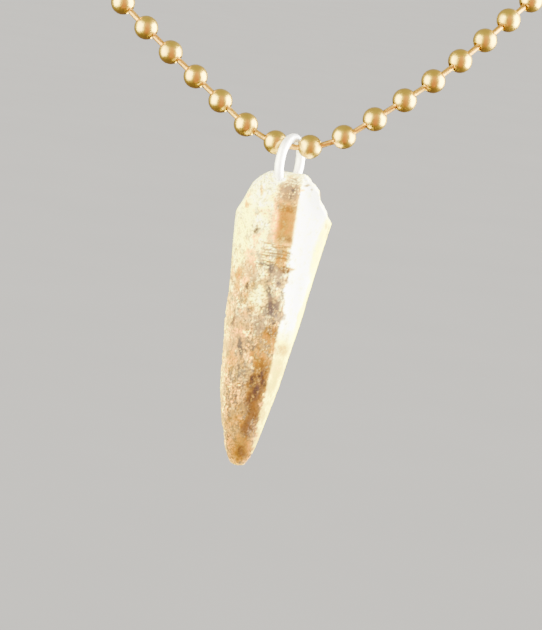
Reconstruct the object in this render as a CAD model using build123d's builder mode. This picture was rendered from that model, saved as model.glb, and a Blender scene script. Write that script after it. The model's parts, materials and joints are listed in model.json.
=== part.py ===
from build123d import *
import os
from math import sqrt

# A claw pendant on a brass ball chain, in millimetres, hanging as it is worn.
# +Z is up and the claw hangs in front, towards -Y. The origin is the nape: the middle of the
# clasp, at the back and highest point of the loop.

os.makedirs("parts", exist_ok=True)

# Beads: hollow balls with a hole at each end
bead_radius = 1.2
bead_wall = 0.2
bead_hole_radius = 0.47
beads_each_side = 61

# Links: small dumbbells whose heads are held inside the beads
pitch = 3.5
link_radius = 0.3
link_head_radius = 0.52
link_head_thickness = 0.25
link_head_depth = 0.5

# Clasp: a snap sleeve round the two end beads
end_bead_spacing = 5.0
clasp_wall = 0.3
clasp_bead_clearance = 0.15
clasp_hole_radius = 0.5
clasp_slit_width = 0.75
clasp_entry_radius = 1.3

# Jump ring: it hangs on the centre link and goes through the claw
ring_radius = 2.45
ring_wire_radius = 0.45
ring_clearance = 0.1
ring_twist = 11.5
ring_shift = 0.03

# Claw: its length runs from the worn top to the tip
claw_length = 29.6
claw_width = 9.6
claw_depth = 6.6
claw_top_drop = 2.6
claw_tip_rounding = 0.45
claw_break_overlap = 1.5

# The chain's drawn route, from the middle of the centre link to the nape on each side
right_route = [(1.7, -0.3, -0.02), (4.9, -0.25, 1.45), (7.7, 0.1, 3.65), (12.8, 1.7, 7.95), (17.3, 4.3, 12.4),
               (22.2, 8.5, 17.6), (34.5, 20.5, 30.5), (49.5, 42.0, 49.5), (57.5, 67.0, 67.5),
               (52.5, 93.0, 83.5), (33.0, 114.0, 94.0)]
left_route = [(-1.7, 0.3, -0.1), (-4.85, 1.05, 1.2), (-7.65, 1.9, 3.12), (-13.1, 3.4, 7.0),
              (-18.4, 5.0, 11.0), (-24.0, 7.9, 15.9), (-36.5, 19.5, 27.5), (-51.0, 42.0, 47.0),
              (-58.0, 67.5, 66.0), (-52.5, 93.5, 83.0), (-33.0, 114.0, 93.8)]
front_point = (0.0, 0.0, -0.25)
back_point = (0.0, 122.5, 98.0)

# The claw's sections: distance down as a share of its length, its left and right edges from the
# ring's plumb line as shares of its width, and its half depth as a share of its depth
claw_sections = [
    # down, left, right, half depth
    (0.00, -0.475, 0.600, 0.20),
    (0.02, -0.476, 0.590, 0.35),
    (0.07, -0.477, 0.560, 0.45),
    (0.17, -0.477, 0.499, 0.49),
    (0.31, -0.457, 0.423, 0.48),
    (0.50, -0.446, 0.333, 0.44),
    (0.66, -0.415, 0.241, 0.38),
    (0.80, -0.368, 0.150, 0.305),
    (0.90, -0.302, 0.077, 0.23),
    (0.96, -0.243, 0.024, 0.16),
    (1.00, -0.165, -0.045, 0.075),
]

# The outline of one section: share of the half width to the right, share of the half depth to the back
section_outline = [
    (-1.0, 0.0),
    (-0.70, -0.72),
    (-0.05, -1.0),
    (0.50, -0.80),
    (0.95, -0.28),
    (0.95, 0.32),
    (0.42, 0.92),
    (-0.35, 0.96),
]

# Where the claw's shoulders are broken away: across as a share of its width, down as a share of its length
left_break = [(-0.150, -0.002), (-0.257, 0.019), (-0.352, 0.053), (-0.426, 0.114), (-0.480, 0.148)]
right_break = [(0.165, -0.002), (0.222, 0.014), (0.285, 0.031), (0.342, 0.052), (0.358, 0.080), (0.440, 0.114),
               (0.456, 0.128), (0.520, 0.152)]


# The route is stretched to the chain's real length, so each station lies at a true distance along it
loop_length = (2 * beads_each_side - 1) * pitch + end_bead_spacing
drawn_points = [front_point] + right_route + [back_point] + left_route[::-1]
with BuildLine() as drawn:
    Spline(*drawn_points, periodic=True)
stretch = loop_length / drawn.edge().length
with BuildLine() as route:
    Spline(*[Vector(*point) * stretch for point in drawn_points], periodic=True)
chain_line = route.edge()
nape = chain_line.position_at(loop_length / 2, PositionMode.LENGTH)


def station(distance):
    """The point of the route at a distance from the middle of the centre link, rightwards positive."""
    return chain_line.position_at(distance % loop_length, PositionMode.LENGTH) - nape


def between(start, end):
    """The plane midway between two points, whose normal runs from one to the other."""
    return Plane(origin=(start + end) / 2, z_dir=end - start)


def hole_reach(radius):
    """How far from a bead's middle its hole meets a ball of a radius."""
    return sqrt(radius**2 - bead_hole_radius**2)


# A link turns in its bead at the middle of the hole's short wall
pivot_reach = (hole_reach(bead_radius) + hole_reach(bead_radius - bead_wall)) / 2
link_span = pitch - 2 * pivot_reach


def bead_planes(side):
    """The planes of one side's beads, counted from the centre link."""
    centres = [side * (number + 0.5) * pitch for number in range(beads_each_side)]
    return [between(station(c - pivot_reach), station(c + pivot_reach)) for c in centres]


def link_planes(side):
    """The planes of the links beyond each of one side's beads but the last."""
    middles = [side * (number + 1) * pitch for number in range(beads_each_side - 1)]
    return [between(station(m - link_span / 2), station(m + link_span / 2)) for m in middles]


centre_link_plane = between(station(-link_span / 2), station(link_span / 2))

with BuildPart() as bead:
    Sphere(bead_radius)
    Sphere(bead_radius - bead_wall, mode=Mode.SUBTRACT)
    Cylinder(bead_hole_radius, 2 * bead_radius, mode=Mode.SUBTRACT)

with BuildPart() as link:
    Cylinder(link_radius, link_span + 2 * link_head_depth)
    head_middle = link_span / 2 + link_head_depth + link_head_thickness / 2
    with Locations((0, 0, head_middle), (0, 0, -head_middle)):
        Cylinder(link_head_radius, link_head_thickness)

# Chain, right half: its beads and links with the centre link
with BuildPart() as chain_right:
    with Locations(*bead_planes(1)):
        add(bead.part)
    with Locations(centre_link_plane, *link_planes(1)):
        add(link.part)

# Chain, left half: the rest of the beads and links
with BuildPart() as chain_left:
    with Locations(*bead_planes(-1)):
        add(bead.part)
    with Locations(*link_planes(-1)):
        add(link.part)

# Clasp: the sleeve's end walls stand midway between each end bead and the next one
last_bead = (beads_each_side - 0.5) * pitch
clasp_plane = between(station(last_bead), station(-last_bead))
clasp_inner_radius = bead_radius + clasp_bead_clearance
clasp_outer_radius = clasp_inner_radius + clasp_wall
clasp_length = end_bead_spacing + pitch + clasp_wall
with BuildPart(clasp_plane) as clasp:
    Cylinder(clasp_outer_radius, clasp_length)
    Cylinder(clasp_inner_radius, clasp_length - 2 * clasp_wall, mode=Mode.SUBTRACT)
    Cylinder(clasp_hole_radius, clasp_length, mode=Mode.SUBTRACT)
    with Locations((clasp_outer_radius, 0, 0)):
        Box(2 * clasp_outer_radius, clasp_slit_width, clasp_length, mode=Mode.SUBTRACT)
        Cylinder(clasp_entry_radius, 2 * clasp_outer_radius, rotation=(0, 90, 0), mode=Mode.SUBTRACT)

# Jump ring: its crown rests over the centre link, and its plane is turned from square to the link
link_middle = centre_link_plane.origin
link_heading = Vector(centre_link_plane.z_dir.X, centre_link_plane.z_dir.Y, 0)
ring_drop = ring_radius - (link_radius + ring_wire_radius + ring_clearance)
ring_middle = link_middle - centre_link_plane.z_dir * ring_shift - Vector(0, 0, ring_drop)
ring_plane = Plane(origin=ring_middle, z_dir=link_heading.rotate(Axis.Z, -ring_twist))
with BuildPart(ring_plane) as jump_ring:
    Torus(ring_radius, ring_wire_radius)

# Claw: lofted through its sections, with its shoulders broken away and a way for the ring
claw_top = Plane.XY.offset(link_middle.Z - claw_top_drop)
claw_top = claw_top.shift_origin((link_middle.X, link_middle.Y, claw_top.origin.Z))


def section_points(left, right, half_depth):
    """One section's outline in its own plane."""
    middle = (left + right) / 2 * claw_width
    half_width = (right - left) / 2 * claw_width
    return [(middle + half_width * across, half_depth * claw_depth * back) for across, back in section_outline]


def break_points(points, outside):
    """A broken shoulder's outline in the claw's front plane, closed round its outside."""
    edge = [(across * claw_width, -down * claw_length) for across, down in points]
    side, above = outside * claw_width, claw_break_overlap
    return edge + [(side, edge[-1][1]), (side, above), (edge[0][0], above)]


claw_front = Plane(origin=claw_top.origin, x_dir=(1, 0, 0), z_dir=(0, -1, 0))
with BuildPart() as claw:
    sections = []
    for down, left, right, half_depth in claw_sections:
        with BuildSketch(claw_top.offset(-down * claw_length), mode=Mode.PRIVATE) as section:
            with BuildLine():
                Spline(*section_points(left, right, half_depth), periodic=True)
            make_face()
        sections.append(section.sketch)
    loft(sections)
    fillet(claw.edges().group_by(Axis.Z)[0], claw_tip_rounding)
    for points, outside in ((left_break, -1), (right_break, 1)):
        with BuildSketch(claw_front):
            with BuildLine():
                Polyline(*break_points(points, outside), close=True)
            make_face()
        extrude(amount=claw_depth, both=True, mode=Mode.SUBTRACT)
    with Locations(ring_plane):
        Torus(ring_radius, ring_wire_radius + ring_clearance, mode=Mode.SUBTRACT)

for name, piece in (("chain_left", chain_left), ("chain_right", chain_right), ("clasp", clasp),
                    ("jump_ring", jump_ring), ("claw", claw)):
    piece.part.label = name
    export_step(piece.part, f"parts/{name}.step")
    print(name, len(piece.part.solids()), "solids", round(piece.part.volume, 3), "mm3")

print("chain length", round(loop_length, 1), "mm, route stretched by", round(stretch, 5))
print("swing axis through", link_middle, "along", centre_link_plane.z_dir)
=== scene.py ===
import json
import math
import bmesh
import bpy
import numpy as np
from mathutils import Matrix, Vector, noise

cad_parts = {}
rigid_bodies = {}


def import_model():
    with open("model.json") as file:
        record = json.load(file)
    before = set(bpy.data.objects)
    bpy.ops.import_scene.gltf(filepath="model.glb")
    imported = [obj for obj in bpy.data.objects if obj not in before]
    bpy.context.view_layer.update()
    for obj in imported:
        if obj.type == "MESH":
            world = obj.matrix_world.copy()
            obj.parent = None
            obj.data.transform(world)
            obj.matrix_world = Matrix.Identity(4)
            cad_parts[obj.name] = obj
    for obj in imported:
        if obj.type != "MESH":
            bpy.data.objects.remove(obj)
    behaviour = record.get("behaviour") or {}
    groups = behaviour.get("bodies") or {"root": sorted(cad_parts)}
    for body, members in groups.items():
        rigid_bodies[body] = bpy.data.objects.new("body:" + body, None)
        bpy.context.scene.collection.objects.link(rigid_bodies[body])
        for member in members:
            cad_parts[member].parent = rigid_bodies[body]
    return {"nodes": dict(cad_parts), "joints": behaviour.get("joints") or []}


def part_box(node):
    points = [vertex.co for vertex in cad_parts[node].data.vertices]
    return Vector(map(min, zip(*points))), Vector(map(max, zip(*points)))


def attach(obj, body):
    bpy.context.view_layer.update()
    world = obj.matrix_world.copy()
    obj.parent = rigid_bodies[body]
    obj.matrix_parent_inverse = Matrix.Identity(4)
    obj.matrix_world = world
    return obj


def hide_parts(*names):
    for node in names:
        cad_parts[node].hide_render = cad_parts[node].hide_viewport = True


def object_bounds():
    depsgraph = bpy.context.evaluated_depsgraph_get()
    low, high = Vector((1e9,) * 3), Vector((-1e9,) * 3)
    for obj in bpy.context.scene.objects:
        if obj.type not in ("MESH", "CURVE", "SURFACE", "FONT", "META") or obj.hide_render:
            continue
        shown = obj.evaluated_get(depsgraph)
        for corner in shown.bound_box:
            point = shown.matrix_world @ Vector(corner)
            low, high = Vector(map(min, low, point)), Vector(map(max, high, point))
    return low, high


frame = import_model()
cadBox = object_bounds()

# A claw pendant on a ball chain, hanging as worn: the claw is in front, towards -Y
mm = 0.001
mergeGap = 0.001 * mm    # corners of a node closer than this are one
linkAt = Vector(frame["joints"][0]["pos_m"])    # the chain's lowest link, which carries the ring
sceneObjects = bpy.context.scene.collection.objects


# One socket of a node tree. Arithmetic on it adds Math nodes, and node() adds any other
class Wire:
    def __init__(self, tree, socket=None):
        self.tree = tree
        self.socket = socket

    def node(self, kind, settings=None, inputs=None, output=0):
        made = self.tree.nodes.new(kind)
        for name, value in (settings or {}).items():
            setattr(made, name, value)
        for key, value in (inputs or {}).items():
            if isinstance(value, Wire):
                self.tree.links.new(value.socket, made.inputs[key])
            else:
                made.inputs[key].default_value = value
        return Wire(self.tree, made.outputs[output])

    def output(self, name):    # another output of the same node
        return Wire(self.tree, self.socket.node.outputs[name])

    def maths(self, operation, first, second=0.0):
        return self.node("ShaderNodeMath", {"operation": operation}, {0: first, 1: second})

    def mixed(self, first, second):    # this socket is the share of the second colour
        return self.node("ShaderNodeMix", {"data_type": "RGBA"}, {0: self, 6: first, 7: second}, 2)

    def clamped(self):
        return self.node("ShaderNodeClamp", inputs={0: self})

    def __add__(self, other):
        return self.maths("ADD", self, other)

    __radd__ = __add__

    def __sub__(self, other):
        return self.maths("SUBTRACT", self, other)

    def __rsub__(self, other):
        return self.maths("SUBTRACT", other, self)

    def __mul__(self, other):
        return self.maths("MULTIPLY", self, other)

    __rmul__ = __mul__

    def __truediv__(self, other):
        return self.maths("DIVIDE", self, other)

    def __gt__(self, other):
        return self.maths("GREATER_THAN", self, other)


def paint(red, green, blue):    # a colour as seen on a screen, 0 to 255, made linear
    return tuple((part / 255) ** 2.2 for part in (red, green, blue)) + (1.0,)


def addObject(name, data):
    made = bpy.data.objects.new(name, data)
    sceneObjects.link(made)
    return made


def meshFrom(name, corners, faces):
    mesh = bpy.data.meshes.new(name)
    mesh.from_pydata([tuple(corner) for corner in corners], [], faces)
    mesh.update()
    return mesh


def mergedNode(node):    # a node's loose triangles, joined up
    work = bmesh.new()
    work.from_mesh(frame["nodes"][node].data)
    bmesh.ops.remove_doubles(work, verts=work.verts, dist=mergeGap)
    return work


def meshOf(work, name):
    mesh = bpy.data.meshes.new(name)
    work.to_mesh(mesh)
    work.free()
    return mesh


def applied(item):    # the item's mesh with its modifiers worked in
    graph = bpy.context.evaluated_depsgraph_get()
    mesh = bpy.data.meshes.new_from_object(item.evaluated_get(graph))
    item.modifiers.clear()
    item.data = mesh
    return mesh


def vectorsOf(items, field="co"):
    values = np.zeros(len(items) * 3)
    items.foreach_get(field, values)
    return values.reshape(-1, 3)


def mark(mesh, name, values, kind="FLOAT", field="value"):    # a named value for each of its points
    layer = mesh.attributes.new(name, kind, "POINT")
    layer.data.foreach_set(field, np.array(values, dtype=float).ravel())


def principled(name, settings):    # a material and a wire into its tree, with its fixed values set
    material = bpy.data.materials.new(name)
    material.use_nodes = True
    shader = material.node_tree.nodes["Principled BSDF"]
    for key, value in settings.items():
        shader.inputs[key].default_value = value
    return material, Wire(material.node_tree), shader


def feed(shader, links):
    for key, wire in links.items():
        wire.tree.links.new(wire.socket, shader.inputs[key])


def objectCoordinates(wire):
    return wire.node("ShaderNodeTexCoord", output="Object")


def grainNoise(wire, where, size, detail):    # noise whose features have a size in metres
    return wire.node("ShaderNodeTexNoise", inputs={"Vector": where, "Scale": 1 / size, "Detail": detail})


def circle(wire, steps, radius):
    return wire.node("GeometryNodeCurvePrimitiveCircle", inputs={"Resolution": steps, "Radius": radius})


def bumped(height, depth, strength):
    return height.node("ShaderNodeBump",
                       inputs={"Height": height, "Distance": depth, "Strength": strength})


# The view, which sees the lowest link from straight in front and a little above
view = {
    "pictureWidth": 542,       # px
    "pictureHeight": 630,
    "focal": 3060,             # px
    "linkX": 292.4,            # px, where the lowest link is seen
    "linkY": 146.7,
    "lookDown": 8,             # degrees
    "roll": 8,                 # degrees that the content leans clockwise
    "distance": 300 * mm,
    "nearest": 10 * mm,        # what is nearer isn't drawn
    "sensor": 36,              # mm
}
tilt = math.radians(view["lookDown"])
ahead = Vector((0, math.cos(tilt), -math.sin(tilt)))
level = Vector((1, 0, 0))
upright = level.cross(ahead)


def aimCamera():
    roll = math.radians(view["roll"])
    right = level * math.cos(roll) + upright * math.sin(roll)
    up = upright * math.cos(roll) - level * math.sin(roll)
    pixel = view["distance"] / view["focal"]
    across = (view["linkX"] - view["pictureWidth"] / 2) * pixel
    rise = (view["pictureHeight"] / 2 - view["linkY"]) * pixel
    data = bpy.data.cameras.new("camera")
    data.sensor_width = view["sensor"]
    data.lens = view["focal"] / view["pictureHeight"] * view["sensor"]
    data.clip_start = view["nearest"]
    camera = addObject("camera", data)
    place = linkAt - ahead * view["distance"] - right * across - up * rise
    camera.matrix_world = Matrix.Translation(place) @ Matrix((right, up, -ahead)).transposed().to_4x4()
    bpy.context.scene.camera = camera
    return place


eye = aimCamera()


def asSeen(points):    # how far right of the lowest link and how far below it points are seen, in mm
    away = points - np.array(eye)
    link = np.array(linkAt - eye)
    seen = []
    for side, sign in ((level, 1), (upright, -1)):
        seen.append(sign * ((away @ np.array(side)) / (away @ np.array(ahead))
                            - (link @ np.array(side)) / (link @ np.array(ahead))))
    return seen[0] * view["distance"] / mm, seen[1] * view["distance"] / mm


print("camera placed")

# The ball chain: hollow beads with a hole at each end, held by dumbbell links
chain = {
    "pieces": {"chain_left": "ballChainLeft", "chain_right": "ballChainRight"},    # one for each node
    "pitch": 3.5 * mm,
    "beadRadius": 1.2 * mm,
    "beadWall": 0.2 * mm,
    "holeRadius": 0.47 * mm,
    "linkRadius": 0.3 * mm,
    "linkWaist": 0.1,           # share that the link is thinner at its middle
    "headRadius": 0.52 * mm,
    "headThickness": 0.25 * mm,
    "headDepth": 0.5 * mm,
    "headEasing": 0.25,         # share that a head is narrower at its end
    "roundSteps": 24,
    "outerSteps": 12,
    "innerSteps": 4,
    "linkSides": 12,
    "within": 1.1,              # bead radii that a bead's corners and its links' pivots lie within
    "seed": 5,
    "gold": paint(211, 177, 74),
    "paleGold": paint(217, 189, 84),
    "darkGold": paint(152, 116, 48),
    "copper": paint(196, 148, 66),
    "darkCopper": paint(134, 94, 40),
    "beadRoughness": 0.28,
    "linkRoughness": 0.42,
}

# The brass of the chain and the clasp: its clouds of tarnish and its specks
brass = {
    "cloudSize": 1.1 * mm,
    "cloudStart": 0.52,
    "cloudContrast": 5,
    "toneTarnish": 1.2,         # how much a bead's own tone tarnishes it
    "speckSize": 0.16 * mm,
    "speckStart": 0.62,
    "speckContrast": 9,
    "paleShare": 0.6,           # the most of each colour that is mixed in
    "tarnishShare": 0.4,
    "speckShare": 0.35,
    "tarnishRoughness": 0.08,
    "speckRoughness": 0.06,
    "speckHeight": 0.3,         # beside the clouds' 1
    "depth": 0.02 * mm,
    "bump": 0.25,
}


def holeReach(radius):    # how far from a bead's middle its hole meets a ball of a radius
    return math.sqrt(radius ** 2 - chain["holeRadius"] ** 2)


pivotReach = (holeReach(chain["beadRadius"]) + holeReach(chain["beadRadius"] - chain["beadWall"])) / 2
linkSpan = chain["pitch"] - 2 * pivotReach


def looseSolids(node):    # the corners of each loose solid of a node
    work = mergedNode(node)
    found = []
    seen = set()
    for start in work.verts:
        if start in seen:
            continue
        seen.add(start)
        group = [start]
        for corner in group:
            for edge in corner.link_edges:
                other = edge.other_vert(corner)
                if other not in seen:
                    seen.add(other)
                    group.append(other)
        found.append(np.array([corner.co for corner in group]))
    work.free()
    return found


def chainParts(node):    # the middles of a node's beads, and the middles and directions of its links
    beads, links = [], []
    for solid in looseSolids(node):
        middle = (solid.max(axis=0) + solid.min(axis=0)) / 2
        spread = solid - solid.mean(axis=0)
        if np.linalg.norm(spread, axis=1).max() < chain["beadRadius"] * chain["within"]:
            beads.append(middle)
        else:
            links.append((solid.mean(axis=0), np.linalg.svd(spread, full_matrices=False)[2][0]))
    return beads, links


def newTree(name, sizes):    # a tree with named inputs, and the wires of those inputs
    tree = bpy.data.node_groups.new(name, "GeometryNodeTree")
    tree.interface.new_socket("Geometry", in_out="INPUT", socket_type="NodeSocketGeometry")
    tree.interface.new_socket("Geometry", in_out="OUTPUT", socket_type="NodeSocketGeometry")
    for label, value in sizes.items():
        kind = "NodeSocketInt" if isinstance(value, int) else "NodeSocketFloat"
        tree.interface.new_socket(label, in_out="INPUT", socket_type=kind)
    given = tree.nodes.new("NodeGroupInput")
    return tree, {socket.name: Wire(tree, socket) for socket in given.outputs if socket.name}


def smoothed(one, geometry):    # smooth, and plain mesh
    smooth = one.node("GeometryNodeSetShadeSmooth", inputs={"Geometry": geometry})
    return one.node("GeometryNodeRealizeInstances", inputs={"Geometry": smooth})


def dressed(one, geometry, material, chosen=True):
    return one.node("GeometryNodeSetMaterial", inputs={
        "Geometry": geometry, "Selection": chosen, "Material": material})


def endTree(tree, result):
    tree.links.new(result.socket, tree.nodes.new("NodeGroupOutput").inputs[0])


def grow(name, mesh, tree, sizes):    # a plain mesh from a tree set to these sizes
    grown = addObject(name, mesh)
    modifier = grown.modifiers.new("shape", "NODES")
    modifier.node_group = tree
    for item in tree.interface.items_tree:
        if item.in_out == "INPUT" and item.name in sizes:
            modifier[item.identifier] = sizes[item.name]
    applied(grown)
    return grown


def beadShape(given):    # a ring-shaped profile carried round the hole
    one = given["Geometry"]
    index = one.node("GeometryNodeInputIndex")
    outer, inner = given["outerSteps"], given["innerSteps"]
    isInner = index > outer + 0.5
    ball = given["beadRadius"] - given["beadWall"] * isInner
    start = one.maths("ARCSINE", given["holeRadius"] / ball)
    outerShare = 0.5 - 0.5 * one.maths("COSINE", index * math.pi / outer)
    innerShare = 1 - (index - outer - 1) / inner
    share = outerShare + (innerShare - outerShare) * isInner
    angle = start + (math.pi - 2 * start) * share
    place = one.node("ShaderNodeCombineXYZ", inputs={
        "X": ball * one.maths("SINE", angle) - given["holeRadius"],
        "Y": ball * one.maths("COSINE", angle)})
    ring = circle(one, outer + inner + 2, 1.0)
    profile = one.node("GeometryNodeSetPosition", inputs={"Geometry": ring, "Position": place})
    path = circle(one, given["roundSteps"], given["holeRadius"])
    return one.node("GeometryNodeCurveToMesh", inputs={"Curve": path, "Profile Curve": profile})


def linkShape(given):    # a rod of ten rings: the outer three at each end make its head
    one = given["Geometry"]
    rod = one.node("GeometryNodeMeshCylinder", {"fill_type": "NGON"}, {
        "Vertices": given["linkSides"], "Side Segments": 9, "Radius": 1.0, "Depth": 2.0})
    spot = one.node("GeometryNodeInputPosition")
    parts = one.node("ShaderNodeSeparateXYZ", inputs={0: spot})
    height = parts.output("Z")
    far = one.maths("ABSOLUTE", height)    # 1/9 and 3/9 on the shank, 5/9, 7/9 and 1 on the head
    isHead = far > 0.5
    isEnd = far > 0.9
    headStart = given["linkSpan"] / 2 + given["headDepth"]
    shank = given["linkRadius"] * (1 - given["linkWaist"] * (1 - 3 * far))
    radius = shank + (given["headRadius"] * (1 - given["headEasing"] * isEnd) - shank) * isHead
    along = 3 * far * headStart
    headAlong = headStart + (far - 5 / 9) * 9 / 4 * given["headThickness"]
    reach = (along + (headAlong - along) * isHead) * one.maths("SIGN", height)
    place = one.node("ShaderNodeCombineXYZ", inputs={
        "X": parts.output("X") * radius, "Y": parts.output("Y") * radius, "Z": reach})
    return one.node("GeometryNodeSetPosition", inputs={"Geometry": rod, "Position": place})


def brassFinish(name, middle, pale, dark, roughness):
    material, wire, shader = principled(name, {"Metallic": 1.0})
    where = objectCoordinates(wire)
    tone = wire.node("ShaderNodeAttribute", {"attribute_name": "tone"}, output="Fac")
    cloud = grainNoise(wire, where, brass["cloudSize"], detail=3.0)
    speck = grainNoise(wire, where, brass["speckSize"], detail=2.0)
    clouded = (cloud - brass["cloudStart"]) * brass["cloudContrast"]
    tarnish = (clouded + (tone - 0.5) * brass["toneTarnish"]).clamped()
    specks = ((speck - brass["speckStart"]) * brass["speckContrast"]).clamped()
    colour = (tone * brass["paleShare"]).mixed(middle, pale)
    colour = (tarnish * brass["tarnishShare"]).mixed(colour, dark)
    colour = (specks * brass["speckShare"]).mixed(colour, dark)
    feed(shader, {
        "Base Color": colour,
        "Roughness": roughness + brass["tarnishRoughness"] * tarnish + brass["speckRoughness"] * speck,
        "Normal": bumped(speck * brass["speckHeight"] + cloud, brass["depth"], brass["bump"])})
    return material


def goldFinish(name):
    return brassFinish(name, chain["gold"], chain["paleGold"], chain["darkGold"], chain["beadRoughness"])


def chainTree():
    sizes = {name: chain[name] for name in (
        "beadRadius", "beadWall", "holeRadius", "roundSteps", "outerSteps", "innerSteps", "linkSides",
        "linkRadius", "linkWaist", "headRadius", "headThickness", "headDepth", "headEasing")}
    sizes["linkSpan"] = linkSpan
    tree, given = newTree("ballChain", sizes)
    one = given["Geometry"]
    isLink = one.node("GeometryNodeInputNamedAttribute", {"data_type": "FLOAT"}, {"Name": "link"})
    isBead = one.maths("LESS_THAN", isLink, 0.5)
    aim = one.node("GeometryNodeInputNamedAttribute", {"data_type": "FLOAT_VECTOR"}, {"Name": "aim"})
    turn = one.node("FunctionNodeAlignRotationToVector", {"axis": "Z"}, {"Vector": aim})
    joined = tree.nodes.new("GeometryNodeJoinGeometry")
    for shape, chosen in ((beadShape(given), isBead), (linkShape(given), isLink > 0.5)):
        placed = one.node("GeometryNodeInstanceOnPoints", inputs={
            "Points": one, "Selection": chosen, "Instance": shape, "Rotation": turn})
        tree.links.new(placed.socket, joined.inputs[0])
    gold = goldFinish("antiqueGold")
    copper = brassFinish("warmBrass", chain["copper"], chain["gold"], chain["darkCopper"],
                         chain["linkRoughness"])
    golden = dressed(one, smoothed(one, Wire(tree, joined.outputs[0])), gold)
    endTree(tree, dressed(one, golden, copper, isLink > 0.5))
    return tree, sizes


def pointsMesh(name, rows, seed):    # rows of place, aim and whether it is a link
    mesh = meshFrom(name, [row[0] for row in rows], [])
    mark(mesh, "aim", [row[1] for row in rows], "FLOAT_VECTOR", "vector")
    mark(mesh, "link", [row[2] for row in rows])
    mark(mesh, "tone", np.random.default_rng(seed).random(len(rows)))
    return mesh


def buildChain():
    halves = {node: chainParts(node) for node in chain["pieces"]}
    pivots = []    # where the links turn in their beads
    for beads, links in halves.values():
        for middle, along in links:
            pivots += [middle + along * linkSpan / 2, middle - along * linkSpan / 2]
    pivots = np.array(pivots)
    tree, sizes = chainTree()
    for count, (node, (beads, links)) in enumerate(halves.items()):
        rows = [(middle, along, True) for middle, along in links]
        for middle in beads:
            away = np.linalg.norm(pivots - middle, axis=1)
            near = pivots[away < chain["beadRadius"] * chain["within"]]
            aim = near[1] - near[0] if len(near) == 2 else near[0] - middle
            rows.append((middle, aim, False))
        name = chain["pieces"][node]
        piece = grow(name, pointsMesh(name, rows, chain["seed"] + count), tree, sizes)
        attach(piece, "chain")
        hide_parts(node)
        print(name, len(beads), "beads,", len(links), "links,", len(piece.data.polygons), "faces")


buildChain()

# The clasp: a plain snap sleeve at the nape, its edges eased
clasp = {
    "flat": 1,          # degrees, the most bend that is flattened away
    "sharp": 35,        # degrees, the least bend that is eased
    "easing": 0.06 * mm,
    "easingSteps": 2,
    "tone": 0.5,
}


def buildClasp():
    mesh = meshOf(mergedNode("clasp"), "claspSleeve")
    work = bmesh.new()
    work.from_mesh(mesh)
    flat = math.radians(clasp["flat"])
    bmesh.ops.dissolve_limit(work, angle_limit=flat, verts=work.verts, edges=work.edges)
    work.to_mesh(mesh)
    work.free()
    piece = addObject("claspSleeve", mesh)
    bevel = piece.modifiers.new("easing", "BEVEL")
    bevel.width = clasp["easing"]
    bevel.segments = clasp["easingSteps"]
    bevel.angle_limit = math.radians(clasp["sharp"])
    bevel.use_clamp_overlap = True
    mesh = applied(piece)
    mesh.materials.clear()
    mesh.materials.append(goldFinish("claspBrass"))
    mark(mesh, "tone", [clasp["tone"]] * len(mesh.vertices))
    mesh.shade_smooth()
    mesh.set_sharp_from_angle(angle=math.radians(clasp["sharp"]))
    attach(piece, "chain")
    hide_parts("clasp")
    print("claspSleeve", len(mesh.polygons), "faces")


buildClasp()

# The jump ring: round silver wire over the lowest link and through the claw
ring = {
    "radius": 2.45 * mm,
    "wire": 0.45 * mm,
    "roundSteps": 96,
    "wireSteps": 20,
    "silver": paint(254, 253, 250),
    "shadow": paint(232, 228, 222),
    "roughness": 0.58,
    "cloudRoughness": 0.12,
    "cloudSize": 0.8 * mm,
    "cloudContrast": 3,
    "cloudHeight": 2,           # beside the scratches' 1
    "scratchSize": 0.1 * mm,
    "depth": 0.01 * mm,
    "bump": 0.5,
}


def ringFrame():    # the ring's middle and its square direction, from its node
    corners = vectorsOf(frame["nodes"]["jump_ring"].data.vertices)
    low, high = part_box("jump_ring")
    square = np.linalg.svd(corners - corners.mean(axis=0), full_matrices=False)[2][2]
    return (low + high) / 2, Vector(square).normalized()


ringMiddle, ringSquare = ringFrame()


def silverFinish():
    material, wire, shader = principled("silver", {"Metallic": 1.0})
    where = objectCoordinates(wire)
    cloud = grainNoise(wire, where, ring["cloudSize"], detail=3.0)
    scratch = grainNoise(wire, where, ring["scratchSize"], detail=2.0)
    clouded = ((cloud - 0.5) * ring["cloudContrast"]).clamped()
    feed(shader, {
        "Base Color": clouded.mixed(ring["silver"], ring["shadow"]),
        "Roughness": ring["roughness"] + ring["cloudRoughness"] * cloud,
        "Normal": bumped(scratch + cloud * ring["cloudHeight"], ring["depth"], ring["bump"])})
    return material


def buildRing():
    sizes = {name: ring[name] for name in ("radius", "wire", "roundSteps", "wireSteps")}
    tree, given = newTree("wireRing", sizes)
    one = given["Geometry"]
    path = circle(one, given["roundSteps"], given["radius"])
    wire = circle(one, given["wireSteps"], given["wire"])
    tube = one.node("GeometryNodeCurveToMesh", inputs={"Curve": path, "Profile Curve": wire})
    turn = one.node("FunctionNodeAlignRotationToVector", {"axis": "Z"}, {"Vector": tuple(ringSquare)})
    angles = one.node("FunctionNodeRotationToEuler", inputs={0: turn})
    placed = one.node("GeometryNodeTransform", inputs={
        "Geometry": tube, "Translation": tuple(ringMiddle), "Rotation": angles})
    endTree(tree, dressed(one, smoothed(one, placed), silverFinish()))
    piece = grow("jumpRing", bpy.data.meshes.new("jumpRing"), tree, sizes)
    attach(piece, "pendant")
    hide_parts("jump_ring")
    print("jumpRing", len(piece.data.polygons), "faces")


buildRing()

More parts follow.
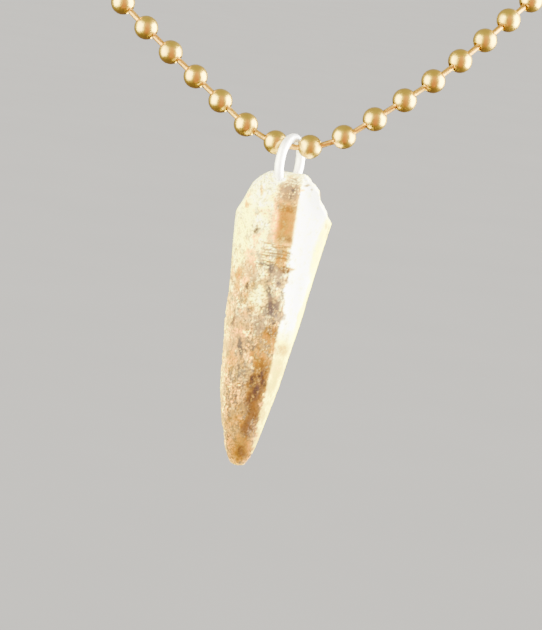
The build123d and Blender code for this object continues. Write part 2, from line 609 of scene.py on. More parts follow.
# The claw: worn bone-like horn, rough and stained in front, with one smooth pale flank
claw = {
    "grid": 0.1,              # mm, the spacing of its mesh
    "seed": 11,
    "flankPush": 0.42,        # mm that the flank is flattened
    "flankDepth": 3.0,        # mm before the middle, where it is flattened in full
    "flankWidth": 0.5,        # mm, its least width
    "flankTurn": 0.2,         # the most that a flattened face looks to the back
    "layer": 0.4,             # mm, the layers that give the right edge
    "ridgeWander": 0.26,      # mm
    "ridgeHalf": 0.25,        # mm from the ridge to where the front and the flank are plain
    "smoothing": 0.9,         # how much smoother than the front the flank is
    "leastRelief": 0.35,      # relief of clean horn, and what mottling adds
    "mottledRelief": 0.75,
    "grainDepth": 0.06,       # mm
    "bandShare": 0.35,
    "flakeDepth": 0.05,
    "pitDepth": 0.12,
    "pitSize": 0.42,
    "pitSeed": 3,
    "breakDepth": 0.12,
    "dentDepth": 0.13,        # of the left edge's dents
    "ringGap": 0.03,          # mm between the ring and its hole
    "ringClear": 0.16,        # mm round the ring where nothing is shaped
    "ringFade": 0.15,         # mm more to where everything is
    "mostClosing": 0.1,       # mm that the hole closes at most
    "frontLight": 8.2,        # how strongly each side is lit; each side's paint is divided by it, painted light that makes the back lighter and the flank darker
    "flankLight": 11.5,
    "backLight": 4.5,
}

# Where each mask goes from 0 to 1, or from 1 to 0 where it fades
spans = {
    "front": (-0.25, 0.25),        # how much a face looks to the front
    "right": (-0.15, 0.25),
    "up": (0.3, 0.7),
    "left": (0.5, 0.9),
    "leftRim": (0.66, 0.95),
    "tipRim": (0.35, 0.8),
    "wandering": (9, 11),          # mm below the link
    "shoulders": (8, 11),
    "dented": (11, 13),
    "rimmed": (11, 18),
    "yellowed": (17, 22),
    "leftPart": (-1.3, -0.7),      # mm right of the link
    "pits": (0.1, 0.34),           # how far from a pit's middle, in pit sizes
    "closing": (0.12, 0.16),       # mm from the ring's wire
    # mm from the ring's wire within which the horn is painted cream: painted light over the shade in the
    # hole round the wire
    "paleOverRingShade": (0.2, 0.4),
    "stainable": (0.1, 0.6),       # how rough
    "mottled": (0.2, 0.7),
    "stain": (0.50, 1.35),         # half sizes from a stain's middle
}

# The claw's noises, and from where to where those that make patches count
textures = {
    # size in mm, seed, octaves, patches
    "grain": ((0.35, 0.35, 1.6), 0, 3, None),
    "bands": ((1.6, 1.6, 0.22), 1, 2, None),
    "flakes": ((0.9, 0.9, 1.5), 2, 3, (0.12, 0.2)),
    "pitted": ((1.4, 1.4, 1.4), 4, 2, (-0.1, 0.25)),
    "chips": ((0.5, 0.5, 0.5), 5, 3, None),
    "warpX": ((0.9, 0.9, 0.9), 6, 3, None),
    "warpY": ((0.9, 0.9, 0.9), 7, 3, None),
    "fine": ((0.17, 0.17, 0.17), 8, 2, None),
    "coarse": ((0.5, 0.5, 0.8), 9, 3, None),
    "wander": ((0.6, 0.6, 0.40), 10, 3, None),
    "dents": ((1.1, 1.1, 1.3), 12, 2, (0.02, 0.3)),
    "lines": ((1.2, 1.2, 0.13), 30, 2, (0.12, 0.32)),
}

# Where the flank's ridge is seen, below the link and right of it, in mm
ridge = {"down": (2.8, 6.0, 9.0, 12.0, 14.0, 16.5, 18.5, 21.0, 24.0, 27.0, 30.0, 32.0),
         "across": (1.45, 1.25, 1.20, 1.40, 1.15, 1.40, 1.05, 1.00, 0.72, 0.48, 0.22, -0.1)}

# The claw's tones as the picture shows them, 0 to 255. asPaint() makes them paint
tones = {
    "white": (254, 253, 246),
    "cream": (254, 251, 228),
    "yellow": (248, 243, 182),
    "sand": (249, 234, 198),
    "fawn": (236, 199, 156),
    "pink": (243, 207, 172),
    "tan": (216, 171, 92),
    "amber": (184, 128, 56),
    "brown": (150, 90, 52),
    "rust": (108, 62, 40),
    "grey": (206, 178, 160),
    "slate": (132, 104, 96),
}

# How the horn darkens towards the tip, and how mottled the left part and the middle of its front are
wornBy = {
    "down": (3.0, 6.0, 9.0, 12.0, 15.0, 18.0, 22.0, 26.0, 29.0, 32.0),    # mm below the link
    "tanned": (0.00, 0.00, 0.02, 0.06, 0.10, 0.18, 0.34, 0.52, 0.66, 0.80),
    "leftMottle": (0.08, 0.08, 0.14, 0.36, 0.46, 0.52, 0.54, 0.60, 0.70, 0.50),
    "middleMottle": (0.52, 0.38, 0.22, 0.38, 0.42, 0.52, 0.55, 0.66, 0.70, 0.50),
}

# The mottling of the front
mottling = {
    "seed": 20,
    "spread": 0.55,           # how much larger the spots are where they are dense
    "soft": (0.12, 0.16),     # how softly they start
    "gain": 1.6,              # how soon they reach their whole strength
    "whiteLoss": 0.75,        # how much less white the lower flank is
    "breakLoss": 0.7,         # how much less the broken shoulders are stained and mottled
}
mottles = [
    # tone, spots' width and height in mm, start, strength, least density
    ("pink", 0.90, 1.40, 0.00, 0.66, 0.0),
    ("tan", 0.60, 1.10, 0.30, 0.36, 0.0),
    ("grey", 0.30, 0.50, 0.10, 0.48, 0.1),
    ("pink", 0.26, 0.40, 0.10, 0.50, 0.1),
    ("slate", 0.32, 0.48, 0.30, 0.36, 0.0),
    ("brown", 0.18, 0.26, 0.32, 0.50, 0.2),
    ("slate", 0.14, 0.20, 0.28, 0.60, 0.25),
]

# Stains of the front. All rows give the seen place right of and below the link, the half sizes, the
# degrees that the lower end swings left, tone, strength and how much the stain breaks up into specks
frontStains = [
    # across, down, wide, high, turn, tone, strength, specks
    (-3.6, 9.0, 1.0, 4.2, 0, "yellow", 0.45, 0.3),
    (-1.3, 14.8, 0.9, 1.6, 0, "yellow", 0.4, 0.3),
    (0.3, 4.4, 0.95, 1.6, 0, "pink", 0.85, 0.5),
    (0.33, 4.4, 0.95, 1.45, 0, "grey", 0.8, 0.6),
    (0.45, 4.3, 0.75, 1.1, 0, "brown", 0.2, 0.8),
    (0.55, 4.1, 0.6, 0.9, 0, "slate", 0.3, 1.0),
    (0.2, 3.9, 0.26, 1.0, 0, "grey", 0.75, 0.4),
    (0.85, 4.0, 0.26, 1.3, 0, "grey", 0.65, 0.7),
    (0.7, 4.3, 0.14, 1.0, 0, "slate", 0.4, 1.0),
    (0.65, 3.2, 0.28, 0.3, 0, "slate", 0.7, 0.6),
    (0.55, 4.9, 0.22, 0.6, 0, "slate", 0.6, 0.6),
    (-0.3, 4.55, 0.38, 0.22, 0, "grey", 0.6, 0.5),
    (-0.2, 3.6, 0.25, 0.3, 0, "grey", 0.4, 0.5),
    (0.95, 4.0, 0.2, 0.6, 0, "grey", 0.5, 0.6),
    (-1.2, 3.3, 0.2, 0.2, 0, "pink", 0.6, 0.3),
    (-2.4, 4.6, 0.22, 0.55, 0, "tan", 0.45, 0.3),
    (-3.6, 5.3, 0.25, 0.35, 15, "pink", 0.55, 0.3),
    (-3.45, 6.3, 0.16, 0.6, 10, "tan", 0.45, 0.4),
    (-2.6, 6.7, 0.5, 0.3, 0, "pink", 0.35, 0.6),
    (-1.1, 5.2, 0.4, 0.6, 0, "pink", 0.45, 0.6),
    (-1.6, 6.8, 0.6, 0.8, 0, "pink", 0.35, 0.7),
    (-0.7, 7.8, 0.5, 1.9, 0, "pink", 0.62, 0.3),
    (0.6, 7.3, 0.35, 0.9, 0, "amber", 0.35, 0.2),
    (-2.35, 8.5, 0.2, 0.34, 0, "rust", 0.6, 0.4),
    (-2.2, 9.3, 0.36, 0.8, 0, "pink", 0.6, 0.4),
    (-1.6, 9.0, 0.5, 0.6, 0, "pink", 0.35, 0.8),
    (0.4, 10.9, 0.62, 1.3, 0, "tan", 0.75, 0.3),
    (-0.2, 10.3, 1.2, 0.1, 2, "grey", 0.6, 0.5),
    (1.05, 10.55, 0.45, 0.07, 3, "grey", 0.55, 0.4),
    (0.05, 10.55, 0.3, 0.25, 0, "grey", 0.55, 0.6),
    (-0.6, 11.0, 0.6, 0.07, 0, "grey", 0.4, 0.5),
    (-2.6, 11.2, 0.55, 1.0, -20, "pink", 0.6, 0.5),
    (-0.9, 11.75, 1.1, 0.12, 0, "slate", 0.55, 0.5),
    (0.8, 12.05, 0.85, 0.2, 3, "brown", 0.6, 0.5),
    (-2.4, 12.4, 0.6, 0.9, 0, "pink", 0.6, 0.4),
    (-2.35, 13.0, 0.85, 1.2, 0, "grey", 0.4, 0.9),
    (0.15, 12.45, 0.7, 0.62, 0, "grey", 0.85, 0.6),
    (-0.35, 12.2, 0.25, 0.4, 0, "slate", 0.55, 0.5),
    (0.65, 13.4, 0.42, 0.42, 0, "grey", 0.7, 0.6),
    (0.6, 13.3, 0.2, 0.3, 0, "slate", 0.45, 0.7),
    (-3.5, 13.1, 0.48, 0.62, 0, "tan", 0.75, 0.3),
    (-3.45, 14.2, 0.2, 0.6, 0, "tan", 0.4, 0.5),
    (-2.8, 13.6, 0.55, 0.5, 0, "pink", 0.55, 0.5),
    (-2.45, 14.2, 0.25, 0.36, -10, "rust", 0.6, 0.4),
    (-1.5, 13.6, 0.65, 0.55, 0, "grey", 0.55, 0.9),
    (-0.2, 14.3, 0.38, 0.55, 10, "slate", 0.6, 0.7),
    (0.45, 14.4, 0.4, 0.45, 0, "pink", 0.4, 0.6),
    (0.1, 14.9, 0.3, 0.6, 0, "slate", 0.4, 0.8),
    (-2.6, 15.3, 0.5, 0.7, 0, "tan", 0.35, 0.5),
    (-3.6, 15.4, 0.45, 0.9, 0, "pink", 0.45, 0.7),
    (0.35, 15.9, 0.68, 1.05, -8, "grey", 0.85, 0.4),
    (0.2, 16.1, 0.45, 0.7, 0, "slate", 0.65, 0.9),
    (0.28, 16.2, 0.72, 1.1, -6, "slate", 0.44, 0.7),
    (0.25, 15.9, 0.65, 1.1, -6, "brown", 0.16, 0.5),
    (-1.25, 15.2, 0.55, 1.3, 0, "cream", 0.45, 0.5),
    (0.9, 16.8, 0.6, 0.36, 0, "grey", 0.7, 0.6),
    (0.5, 16.7, 0.4, 0.3, 0, "slate", 0.5, 0.8),
    (-4.0, 16.8, 0.24, 0.9, 0, "tan", 0.55, 0.3),
    (-2.5, 16.9, 0.7, 0.32, 5, "pink", 0.65, 0.5),
    (-0.9, 17.5, 0.6, 0.95, 0, "grey", 0.6, 0.5),
    (0.5, 17.3, 0.24, 0.2, 0, "rust", 0.6, 0.2),
    (-3.3, 17.8, 0.24, 0.36, 0, "rust", 0.65, 0.4),
    (-2.6, 17.8, 1.0, 1.15, 0, "grey", 0.36, 0.9),
    (-3.0, 18.6, 0.52, 0.5, 0, "grey", 0.6, 0.5),
    (-2.2, 18.2, 0.4, 0.4, 0, "grey", 0.4, 0.6),
    (-0.3, 18.7, 0.8, 0.8, 0, "grey", 0.55, 0.5),
    (0.4, 18.5, 0.62, 0.9, 0, "amber", 0.95, 0.6),
    (0.35, 18.2, 0.22, 0.4, 0, "rust", 0.35, 1.0),
    (0.3, 19.6, 1.0, 1.0, 0, "tan", 0.7, 0.8),
    (0.1, 19.8, 0.6, 0.45, 0, "grey", 0.6, 0.9),
    (-0.1, 20.1, 0.5, 0.16, 10, "brown", 0.45, 0.9),
    (1.25, 19.5, 0.45, 0.35, 0, "tan", 0.45, 0.4),
    (-2.8, 19.6, 1.0, 2.0, 0, "pink", 0.62, 0.5),
    (-2.75, 20.0, 1.0, 1.15, 0, "grey", 0.28, 0.9),
    (-2.35, 20.1, 0.26, 0.95, -12, "slate", 0.6, 0.6),
    (-3.1, 19.8, 0.2, 0.6, 0, "grey", 0.55, 0.6),
    (-3.75, 20.3, 0.42, 0.5, 0, "grey", 0.55, 0.7),
    (-0.5, 20.6, 0.95, 0.62, 0, "tan", 0.8, 0.6),
    (0.1, 21.6, 0.85, 1.1, 0, "tan", 0.95, 0.3),
    (-0.3, 21.1, 0.7, 0.2, 8, "brown", 0.35, 1.0),
    (0.15, 22.1, 0.8, 0.7, 0, "amber", 0.7, 0.3),
    (-3.2, 21.8, 0.7, 1.0, 0, "tan", 0.4, 0.6),
    (-1.6, 22.6, 0.55, 1.2, 0, "grey", 0.32, 0.2),
    (-2.15, 22.4, 0.24, 0.9, 0, "slate", 0.45, 0.6),
    (-0.15, 23.6, 0.9, 2.4, 6, "amber", 0.9, 0.1),
    (-0.25, 23.9, 0.64, 2.4, 8, "brown", 0.76, 0.4),
    (-0.05, 22.6, 0.26, 0.4, 0, "rust", 0.5, 0.4),
    (-0.5, 23.3, 0.62, 0.7, 0, "brown", 0.7, 0.4),
    (-0.7, 23.2, 0.22, 0.42, 0, "rust", 0.55, 0.6),
    (0.35, 23.5, 0.3, 0.5, 0, "rust", 0.5, 0.7),
    (-0.35, 24.6, 0.28, 0.95, 4, "rust", 0.65, 0.6),
    (-0.45, 25.5, 0.7, 1.0, 10, "brown", 0.78, 0.4),
    (-0.1, 26.3, 0.6, 1.2, 5, "amber", 0.7, 0.2),
    (-0.45, 27.6, 0.75, 2.2, 8, "brown", 0.5, 0.3),
    (-1.2, 26.3, 0.55, 0.62, 0, "grey", 0.65, 0.5),
    (-1.6, 27.4, 1.2, 1.5, 0, "tan", 0.55, 0.7),
    (-2.2, 26.9, 0.45, 0.8, 0, "grey", 0.4, 0.8),
    (-0.6, 28.2, 0.45, 1.4, 6, "brown", 0.5, 0.4),
    (-1.5, 28.6, 0.8, 0.8, 0, "grey", 0.4, 0.8),
    (-0.9, 30.0, 1.05, 1.3, 0, "tan", 0.75, 0.1),
    (-0.85, 30.2, 0.8, 0.9, 0, "amber", 0.75, 0.1),
    (-0.85, 30.3, 0.46, 0.6, 0, "brown", 0.65, 0.1),
]

# Stains with straight sides, and marks of the smooth flank
squareStains = [
    (0.2, 7.65, 1.1, 2.05, 0, "pink", 0.7, 0.2),
    (0.46, 7.65, 0.86, 1.95, 0, "tan", 0.9, 0.0),
    (0.15, 7.5, 0.4, 1.0, 0, "amber", 0.22, 0.3),
    (0.4, 6.1, 0.86, 0.36, 0, "brown", 0.34, 0.4),
    (0.6, 9.0, 0.6, 0.4, 0, "grey", 0.35, 0.4),
    (0.55, 9.1, 0.8, 0.3, -3, "brown", 0.3, 0.4),
]
flankStains = [
    (1.95, 3.55, 0.34, 0.16, -20, "grey", 0.6, 0.3),
    (2.45, 3.95, 0.14, 0.12, 0, "grey", 0.5, 0.2),
    (1.65, 4.1, 0.2, 0.14, 0, "pink", 0.5, 0.2),
    (4.55, 7.7, 0.07, 0.9, 8, "grey", 0.55, 0.2),
    (4.35, 7.3, 0.12, 0.3, 0, "tan", 0.45, 0.2),
    (4.5, 9.5, 0.9, 3.6, 8, "yellow", 0.8, 0.1),
    (3.55, 15.6, 0.5, 4.0, 10, "yellow", 0.85, 0.1),
    (1.5, 11.95, 0.36, 0.14, 0, "tan", 0.5, 0.5),
    (1.45, 16.6, 0.3, 0.4, 0, "grey", 0.45, 0.6),
    (1.75, 17.2, 0.16, 0.2, 0, "grey", 0.35, 0.5),
    (1.7, 19.5, 0.7, 0.45, 0, "yellow", 1.0, 0.4),
    (1.4, 20.0, 0.32, 0.5, 0, "tan", 0.3, 0.4),
    (2.2, 20.1, 0.3, 0.7, 12, "yellow", 0.8, 0.3),
    (1.9, 19.9, 0.5, 0.6, 10, "tan", 0.22, 0.4),
    (1.3, 22.6, 0.9, 1.8, 12, "tan", 0.12, 0.2),
    (1.1, 23.0, 0.22, 0.6, 0, "yellow", 0.6, 0.5),
    (1.7, 24.0, 0.22, 1.8, 12, "yellow", 0.8, 0.2),
    (0.75, 26.3, 0.2, 1.0, 0, "tan", 0.2, 0.5),
    (0.9, 28.0, 0.25, 2.4, 14, "yellow", 0.8, 0.2),
    (0.3, 28.8, 0.45, 0.9, 14, "tan", 0.22, 0.3),
]
growthLines = {"across": (-1.7, 1.35), "down": (9.6, 12.3), "fade": (0.2, 0.3), "tone": "brown",
               "strength": 0.36}

# Stains of the back, across as seen from the front
backStains = [
    (0.8, 6.2, 1.6, 2.2, 10, "pink", 0.55, 0.9),
    (-1.6, 8.4, 0.8, 2.4, -6, "tan", 0.6, 0.9),
    (1.9, 11.5, 0.9, 1.8, 0, "grey", 0.6, 0.9),
    (-0.6, 13.0, 1.2, 0.9, 0, "pink", 0.6, 0.9),
    (-2.6, 15.0, 0.7, 2.6, 4, "tan", 0.5, 0.9),
    (0.6, 16.8, 0.9, 2.2, 6, "grey", 0.65, 0.9),
    (-1.2, 20.0, 0.8, 1.8, 0, "amber", 0.6, 0.9),
    (0.3, 22.5, 0.8, 1.6, 8, "brown", 0.6, 0.9),
    (-1.8, 25.0, 0.6, 1.8, 0, "grey", 0.5, 0.9),
    (-0.4, 27.5, 0.9, 1.6, 0, "tan", 0.7, 0.9),
    (-0.9, 30.2, 0.7, 0.8, 0, "amber", 0.7, 0.9),
]

# How the stains lie and break up
staining = {
    "reach": 2.2,             # half sizes from its middle within which a stain is worked out,
    "margin": 0.6,            # and mm beyond them
    "leastSpecks": 0.25,      # how much every stain breaks up
    "fineSpecks": 2.2,        # how much each noise breaks it
    "coarseSpecks": 1.6,
    "speckLoss": 0.1,
    "most": 1.4,
    "squareness": 5,          # of the stains with straight sides
    "flankShare": 0.25,       # how much of a front stain shows on the flank
    "warpAcross": 0.28,       # mm that the noises shift the stains
    "warpDown": 0.35,
    "coarseWarp": 0.10,
    "fineWarp": 0.06,
    "backAcross": 0.4,        # mm more on the back
    "backDown": 0.5,
}

# What lies over the stains
patina = {
    "rim": 0.7,               # how far the faces that look left on the lower left rim, and down at the tip, are drawn towards sand
    "grain": 0.05,            # how much the noises lighten and darken every tone,
    "flankGrain": 0.3,        # the flank's share of that, and what the front adds
    "frontGrain": 0.7,
    "grime": 0.35,            # how dark the grime is, and how much of it pits and flakes hold
    "pitGrime": 0.7,
    "flakeGrime": 0.12,
}

# How a tone of the picture becomes light: how bright its strongest part is lit, and the powers of its
# red, green and blue. Bright tones come out paler, so theirs are higher
toning = {"glow": 0.315, "power": 1.66, "shoulder": 0.994, "fall": (1.0, 0.8, 0.0),
          "paleFall": (0.0, 7.7, 20.0), "paleGlow": (1.0, 2.25, 3.15), "palest": 0.93}


def asPaint(shown, light):    # the paint that shows a tone under a light, divided by that light: painted light, paler where less light falls
    share = np.clip(shown, 1, 254) / 255
    top = share.max(axis=-1, keepdims=True)
    glow = toning["glow"] * top ** toning["power"] / (1 - toning["shoulder"] * top)
    paling = np.array(toning["paleFall"]) * glow / (glow + np.array(toning["paleGlow"]))
    fall = np.array(toning["fall"]) + paling
    return np.clip(glow * (share / top) ** fall / light[:, None], 0, toning["palest"])


def eased(values, low, high):    # 0 at low and 1 at high, smooth between
    share = np.clip((values - low) / (high - low), 0, 1)
    return share * share * (3 - 2 * share)


def faded(values, low, high):    # 1 at low and 0 at high
    return eased(-values, -high, -low)


# How far apart two neighbouring seeds' noises are
fieldStep = (17.31, 5.77, 11.13)
spotStep = (3.71, 7.19, 1.37)


def fieldNoise(points, size, seed, octaves=3):    # smooth noise, about -1 to 1, at points in mm
    shift = Vector([seed * step for step in fieldStep])
    scaled = points / np.array(size)
    return np.array([noise.fractal(Vector(p) + shift, 1.0, 2.0, octaves) for p in scaled])


def texture(points, name):    # one of the claw's noises
    size, seed, octaves, patches = textures[name]
    field = fieldNoise(points, size, claw["seed"] + seed, octaves)
    return eased(field, *patches) if patches else field


def nearestSpot(points, size, seed):    # how far each point is from its nearest scattered spot
    shift = Vector([seed * step for step in spotStep])
    return np.array([noise.voronoi(Vector(p) / size + shift)[0][0] for p in points])


def clawMesh():    # an even mesh of the claw, in mm
    mesh = meshOf(mergedNode("claw"), "clawBody")
    mesh.transform(Matrix.Scale(1 / mm, 4))
    piece = addObject("clawBody", mesh)
    remesh = piece.modifiers.new("even", "REMESH")
    remesh.mode = "VOXEL"
    remesh.voxel_size = claw["grid"]
    applied(piece)
    return piece


def flankPush(points, normals, across, ridgeX):    # mm that flattening pushes each point back
    layer = np.round(points[:, 2] / claw["layer"]).astype(int)
    layers = np.unique(layer)
    rightEdge = np.interp(points[:, 2], layers * claw["layer"],
                          [points[layer == number, 0].max() for number in layers])
    width = np.maximum(rightEdge - linkAt.x / mm - ridgeX, claw["flankWidth"])
    share = np.clip((across - ridgeX) / width, 0, 1)
    thick = np.clip((linkAt.y / mm - points[:, 1]) / claw["flankDepth"], 0, 1)
    return claw["flankPush"] * np.sin(math.pi * share) * thick * (normals[:, 1] < claw["flankTurn"])


def wireDistance(points):    # mm from each point to the ring's wire
    spoke = points - np.array(ringMiddle) / mm
    off = spoke @ np.array(ringSquare)
    inPlane = np.linalg.norm(spoke - off[:, None] * np.array(ringSquare), axis=1)
    return np.hypot(inPlane - ring["radius"] / mm, off) - ring["wire"] / mm


def shapeClaw(piece):
    mesh = piece.data
    points, normals = vectorsOf(mesh.vertices), vectorsOf(mesh.vertex_normals, "vector")
    across, down = asSeen(points * mm)
    frontness = eased(-normals[:, 1], *spans["front"])
    ridgeX = np.interp(down, ridge["down"], ridge["across"])
    push = flankPush(points, normals, across, ridgeX)

    # How worn each place is: the front is rough and the flank is smooth
    wander = claw["ridgeWander"] * texture(points, "wander") * eased(down, *spans["wandering"])
    flank = eased(across + wander, ridgeX - claw["ridgeHalf"], ridgeX + claw["ridgeHalf"])
    flank *= eased(normals[:, 0], *spans["right"])
    rough = 1 - claw["smoothing"] * flank * frontness
    mottled = np.interp(down, wornBy["down"], wornBy["leftMottle"])
    relief = rough * (claw["leastRelief"] + claw["mottledRelief"] * mottled)
    grain = 0.5 + 0.5 * texture(points, "grain") + claw["bandShare"] * texture(points, "bands")
    flakes = texture(points, "flakes")
    pits = faded(nearestSpot(points, claw["pitSize"], claw["seed"] + claw["pitSeed"]), *spans["pits"])
    pits *= texture(points, "pitted")
    broken = eased(normals[:, 2], *spans["up"]) * faded(down, *spans["shoulders"])
    sunk = relief * (claw["grainDepth"] * grain + claw["flakeDepth"] * flakes + claw["pitDepth"] * pits)
    sunk += broken * claw["breakDepth"] * (0.5 + texture(points, "chips"))
    dents = claw["dentDepth"] * texture(points, "dents")
    sunk += dents * eased(-normals[:, 0], *spans["left"]) * eased(down, *spans["dented"])

    # Nothing is shaped close to the ring, and its hole closes round the wire
    fromWire = wireDistance(points)
    free = eased(fromWire, claw["ringClear"], claw["ringClear"] + claw["ringFade"])
    points -= normals * (np.clip(sunk, 0, 1) * free)[:, None]
    points[:, 1] += push * free
    closing = np.clip(fromWire - claw["ringGap"], 0, claw["mostClosing"])
    points += normals * (closing * faded(fromWire, *spans["closing"]))[:, None]
    mesh.vertices.foreach_set("co", (points * mm).ravel())
    mesh.update()
    return points, normals, across, down, frontness, rough, relief, pits, flakes, broken, fromWire


def blended(colour, tone, share):    # a colour for each point, drawn towards one tone
    return colour + (np.array(tones[tone]) - colour) * share[:, None]


# Lays a table's stains over the colours: ellipses, squarer with more power, that noise breaks up
def stained(colour, across, down, amount, stains, fine, coarse, power=2):
    for x, y, wide, high, turn, tone, strength, specks in stains:
        reach = staining["reach"] * (wide + high) + staining["margin"]
        near = np.abs(across - x) + np.abs(down - y) < reach
        swing = math.radians(turn)
        dx, dy = across[near] - x, down[near] - y
        u = (dx * math.cos(swing) + dy * math.sin(swing)) / wide
        v = (dy * math.cos(swing) - dx * math.sin(swing)) / high
        cover = faded((np.abs(u) ** power + np.abs(v) ** power) ** (1 / power), *spans["stain"])
        speckle = fine[near] * staining["fineSpecks"] + coarse[near] * staining["coarseSpecks"]
        broken = 1 + (staining["leastSpecks"] + specks) * (speckle - staining["speckLoss"])
        share = np.clip(cover * np.clip(broken, 0, staining["most"]) * strength, 0, 1) * amount[near]
        colour[near] = colour[near] * (1 - share[:, None]) + np.array(tones[tone]) * share[:, None]
    return colour


def groundTones(points, down, seenX, rough, broken):    # the horn's own colour and its mottling
    tanned = np.interp(down, wornBy["down"], wornBy["tanned"])
    yellowed = eased(down, *spans["yellowed"])
    ground = np.tile(tones["cream"], (len(points), 1)).astype(float)
    ground = blended(ground, "fawn", tanned)
    ground = blended(ground, "white", (1 - rough) * (1 - yellowed * mottling["whiteLoss"]))
    ground = blended(ground, "yellow", (1 - rough) * yellowed)
    leftShare = faded(seenX, *spans["leftPart"])
    density = leftShare * np.interp(down, wornBy["down"], wornBy["leftMottle"])
    density += (1 - leftShare) * np.interp(down, wornBy["down"], wornBy["middleMottle"])
    density *= eased(rough, *spans["mottled"])
    density *= 1 - mottling["breakLoss"] * broken
    early, late = mottling["soft"]
    for number, (tone, wide, high, start, strength, least) in enumerate(mottles):
        spots = fieldNoise(points, (wide, wide, high), claw["seed"] + mottling["seed"] + number)
        dense = np.maximum(density, least * rough)
        share = eased(spots + mottling["spread"] * (dense - 0.5), start - early, start + late)
        ground = blended(ground, tone, share * strength * np.clip(dense * mottling["gain"], 0, 1))
    return ground


def lineShare(points, seenX, down):    # how much each point lies on a growth line
    outer, inner = growthLines["fade"]
    lines = texture(points, "lines")
    for place, (low, high) in ((seenX, growthLines["across"]), (down, growthLines["down"])):
        lines *= eased(place, low - outer, low + inner) * faded(place, high - inner, high + outer)
    return lines * growthLines["strength"]


def colourClaw(mesh, shape):
    points, normals, across, down, frontness, rough, relief, pits, flakes, broken, fromWire = shape
    warpX, warpY = texture(points, "warpX"), texture(points, "warpY")
    fine, coarse = texture(points, "fine"), texture(points, "coarse")
    small = staining["coarseWarp"] * coarse + staining["fineWarp"] * fine
    seenX = across + staining["warpAcross"] * warpX + small
    seenY = down + staining["warpDown"] * warpY + small
    softX, softY = (seenX + across) / 2, (seenY + 3 * down) / 4    # less wobbly places
    backX, backY = seenX + staining["backAcross"] * warpX, seenY + staining["backDown"] * warpY
    stainable = staining["flankShare"] + (1 - staining["flankShare"]) * eased(rough, *spans["stainable"])
    stainable = np.clip(frontness * stainable * (1 - mottling["breakLoss"] * broken), 0, 1)

    colour = groundTones(points, down, seenX, rough, broken)
    colour = stained(colour, seenX, seenY, stainable, frontStains, fine, coarse)
    colour = stained(colour, softX, softY, stainable, squareStains, fine, coarse, staining["squareness"])
    colour = blended(colour, growthLines["tone"], lineShare(points, seenX, down) * stainable)
    colour = stained(colour, softX, softY, frontness, flankStains, fine, coarse)
    colour = stained(colour, backX, backY, 1 - frontness, backStains, fine, coarse)
    # Faces that look left low on the left rim, and faces that look down at the tip, are drawn towards
    # sand
    leftRim = eased(-normals[:, 0], *spans["leftRim"]) * eased(down, *spans["rimmed"])
    rim = np.maximum(leftRim, eased(-normals[:, 2], *spans["tipRim"]))
    colour = blended(colour, "sand", rim * patina["rim"])
    # Painted light: the hole's wall and rim next to the ring are painted cream, hiding the shade between
    # the wire and the horn
    colour = blended(colour, "cream", faded(fromWire, *spans["paleOverRingShade"]))
    grain = patina["grain"] * (coarse + fine) * (patina["flankGrain"] + patina["frontGrain"] * rough)
    colour *= (1 + grain)[:, None]
    grime = np.clip(pits * patina["pitGrime"] + flakes * patina["flakeGrime"], 0, 1) * relief
    colour = blended(colour, "slate", patina["grime"] * grime)

    # Painted light: the paint is divided by how strongly each side is lit, so the back is painted lighter
    # and the smooth flank darker than the front
    light = claw["backLight"] + (claw["frontLight"] - claw["backLight"]) * frontness
    light += (claw["flankLight"] - claw["frontLight"]) * frontness * (1 - rough) / claw["smoothing"]
    painted = np.column_stack([asPaint(colour, light), np.ones(len(points))])
    layer = mesh.color_attributes.new("clawTone", "FLOAT_COLOR", "POINT")
    layer.data.foreach_set("color", painted.ravel())
    mark(mesh, "wear", rough)


# The horn's finish: pores and clouds finer than its mesh
horn = {
    "gloss": 0.03,
    "pore": paint(70, 46, 32),
    "poreSize": 0.13 * mm,
    "poreStart": 0.58,
    "poreContrast": 8,
    "poreShare": 0.4,
    "cloudSize": 0.6 * mm,
    "cloudHeight": 0.4,       # beside the pores' 1
    "roughness": 0.36,
    "wearRoughness": 0.22,
    "cloudRoughness": 0.12,
    "depth": 0.05 * mm,
    "bump": 0.45,
}


def clawFinish():
    material, wire, shader = principled("wornClaw", {"Specular IOR Level": horn["gloss"]})
    where = objectCoordinates(wire)
    tone = wire.node("ShaderNodeAttribute", {"attribute_name": "clawTone"}, output="Color")
    wear = wire.node("ShaderNodeAttribute", {"attribute_name": "wear"}, output="Fac")
    pore = grainNoise(wire, where, horn["poreSize"], detail=3.0)
    cloud = grainNoise(wire, where, horn["cloudSize"], detail=3.0)
    dark = ((pore - horn["poreStart"]) * horn["poreContrast"]).clamped() * wear * horn["poreShare"]
    feed(shader, {
        "Base Color": dark.mixed(tone, horn["pore"]),
        "Roughness": horn["roughness"] + horn["wearRoughness"] * wear + horn["cloudRoughness"] * cloud,
        "Normal": bumped(pore * wear + cloud * horn["cloudHeight"], horn["depth"], horn["bump"])})
    return material


def buildClaw():
    piece = clawMesh()
    colourClaw(piece.data, shapeClaw(piece))
    piece.data.materials.clear()
    piece.data.materials.append(clawFinish())
    piece.data.shade_smooth()
    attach(piece, "pendant")
    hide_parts("claw")
    print("clawBody", len(piece.data.polygons), "faces")


buildClaw()

# The stage: a wide pale floor, well clear of the hanging claw
stage = {
    "floorDrop": 160 * mm,     # below the claw's tip
    "halfSize": 20,            # m
    "paper": paint(203, 203, 203),
    "shade": paint(197, 197, 197),
    "cloudSize": 90 * mm,
    "roughness": 0.9,
    "gloss": 0.1,
}


def paperFinish():
    material, wire, shader = principled("palePaper", {
        "Roughness": stage["roughness"], "Specular IOR Level": stage["gloss"]})
    cloud = grainNoise(wire, objectCoordinates(wire), stage["cloudSize"], detail=2.0)
    feed(shader, {"Base Color": cloud.mixed(stage["paper"], stage["shade"])})
    return material


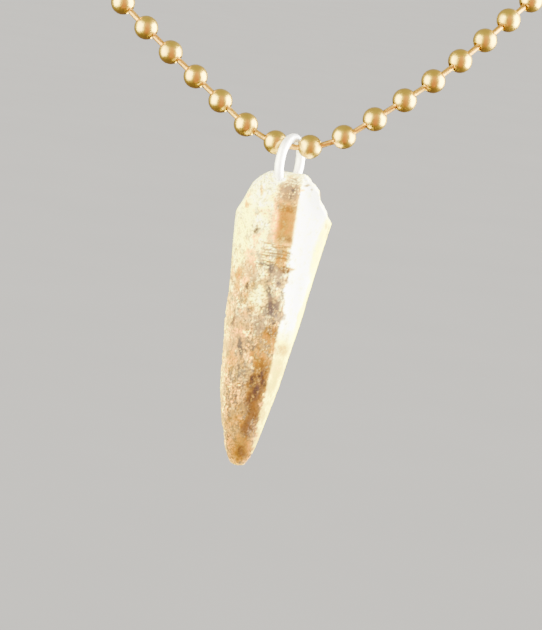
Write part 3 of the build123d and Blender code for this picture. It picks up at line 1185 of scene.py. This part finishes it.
def buildStage():
    floor = cadBox[0].z - stage["floorDrop"]
    reach = stage["halfSize"]
    corners = [(-reach, -reach), (reach, -reach), (reach, reach), (-reach, reach)]
    mesh = meshFrom("floor", [(x, y, floor) for x, y in corners], [(0, 1, 2, 3)])
    mesh.materials.append(paperFinish())
    made = addObject("floor", mesh)
    made.visible_glossy = False    # the beads reflect the studio, not the floor


buildStage()

# Soft lights round the claw: heading to the right and rise in degrees, sizes in m and power in W
lights = {
    # heading, rise, distance, wide, high, power, tint, reaches
    "leftWindow": (-65, 8, 0.20, 0.23, 0.27, 3.8, (0.98, 1.0, 0.60), "whole"),
    "rightWindow": (94, 8, 0.20, 0.23, 0.28, 12.0, (1.0, 1.0, 0.90), "pendant"),
    "chainWindow": (94, 8, 0.20, 0.23, 0.28, 7.5, (1.0, 0.96, 0.55), "chain"),
    "warmCard": (12, 0, 0.50, 0.50, 1.30, 2.2, (1.0, 0.27, 0.04), "whole"),
    "clawWindow": (-30, 4, 0.20, 0.20, 0.30, 2.4, (1.0, 0.98, 0.88), "pendant"),
}
# What these lights reach. The floor is left to the sky light and the studio
reached = {
    "chain": ("ballChainLeft", "ballChainRight", "claspSleeve"),
    "pendant": ("clawBody", "jumpRing"),
}
reached["whole"] = reached["chain"] + reached["pendant"]
skyLight = {"strength": 2.9, "spread": 25, "tint": (1.0, 0.99, 0.97)}    # from straight above, in degrees
studio = {
    "focusDrop": 12 * mm,                # below the link, where the lights aim
    "above": (0.80, 0.75, 0.62, 1.0),
    "below": (0.30, 0.22, 0.25, 1.0),
    "level": 0.2,                        # share of the light above that is seen at eye level
    "rise": 1.4,                         # how fast it grows above that
    "wall": (0.98, 0.95, 0.88, 1.0),     # what the camera sees beyond the floor
}


def buildWindows():
    lit = {}
    for name, pieces in reached.items():
        lit[name] = bpy.data.collections.new(name + "Lit")
        for piece in pieces:
            lit[name].objects.link(bpy.data.objects[piece])
    for name, (heading, rise, distance, wide, high, power, tint, reaches) in lights.items():
        turn, lift = math.radians(heading), math.radians(rise)
        away = Vector((math.sin(turn) * math.cos(lift), -math.cos(turn) * math.cos(lift), math.sin(lift)))
        data = bpy.data.lights.new(name, "AREA")
        data.shape = "RECTANGLE"
        data.size = wide
        data.size_y = high
        data.energy = power
        data.color = tint
        lamp = addObject(name, data)
        lamp.location = linkAt - Vector((0, 0, studio["focusDrop"])) + away * distance
        lamp.rotation_euler = away.to_track_quat("Z", "Y").to_euler()
        lamp.visible_camera = False
        lamp.light_linking.receiver_collection = lit[reaches]


def buildSky():
    sky = bpy.data.lights.new("skyLight", "SUN")
    sky.energy = skyLight["strength"]
    sky.angle = math.radians(skyLight["spread"])
    sky.color = skyLight["tint"]
    addObject("skyLight", sky).visible_glossy = False


def buildStudio():
    world = bpy.data.worlds.new("studio")
    world.use_nodes = True
    wire = Wire(world.node_tree)
    way = wire.node("ShaderNodeTexCoord", output="Generated")
    height = wire.node("ShaderNodeSeparateXYZ", inputs={0: way}, output="Z")
    glow = (height * studio["rise"] + studio["level"]).clamped().mixed(studio["below"], studio["above"])
    glow = wire.node("ShaderNodeLightPath", output="Is Camera Ray").mixed(glow, studio["wall"])
    feed(world.node_tree.nodes["Background"], {"Color": glow})
    bpy.context.scene.world = world


buildWindows()
buildSky()
buildStudio()
print("stage and lights placed")
